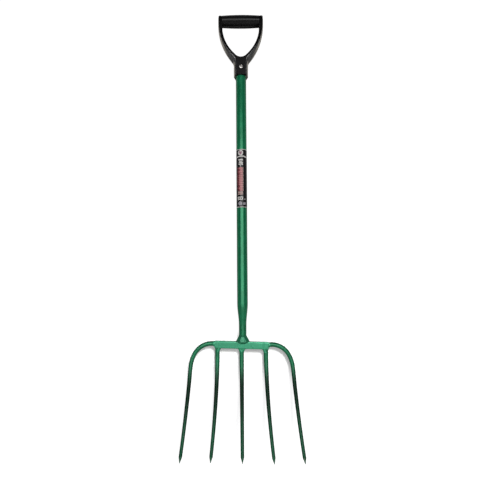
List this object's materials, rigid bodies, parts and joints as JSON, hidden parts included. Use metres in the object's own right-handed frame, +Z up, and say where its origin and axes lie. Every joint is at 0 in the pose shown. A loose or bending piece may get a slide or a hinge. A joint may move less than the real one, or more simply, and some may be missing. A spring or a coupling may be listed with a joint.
{
  "type": "manure fork",
  "caption": "Long-handled steel fork for lifting muck and compost: curved pointed prongs on a welded crossbar, tubular shaft and moulded D grip.",
  "frame": {"origin": "where the shaft's axis crosses the crossbar's centre line", "axes": "+Z up the shaft to the grip, +X to the user's right along the crossbar, prongs curve forwards to -Y"},
  "size_m": [0.3234, 0.1059, 1.2325],
  "materials": {
    "green_paint": "semi-gloss powder coat on steel",
    "bare_steel": "bare mild steel",
    "label_vinyl": "gloss printed vinyl",
    "grip_plastic": "satin black polypropylene",
    "rivet_steel": "bright zinc-plated steel"
  },
  "bodies": {
    "root": {"shaft_tube": "green_paint", "neck_tang": "bare_steel", "neck_weld": "green_paint", "head_crossbar": "green_paint", "prong_left_outer": "green_paint", "prong_left_inner": "green_paint", "prong_centre": "green_paint", "prong_right_inner": "green_paint", "prong_right_outer": "green_paint", "weld_left_outer": "green_paint", "weld_left_inner": "green_paint", "weld_centre": "green_paint", "weld_right_inner": "green_paint", "weld_right_outer": "green_paint", "label_sleeve": "label_vinyl", "grip_yoke": "grip_plastic", "hand_bar": "grip_plastic", "grip_rivet": "rivet_steel", "rivet_washer": "rivet_steel"}
  },
  "joints": []
}
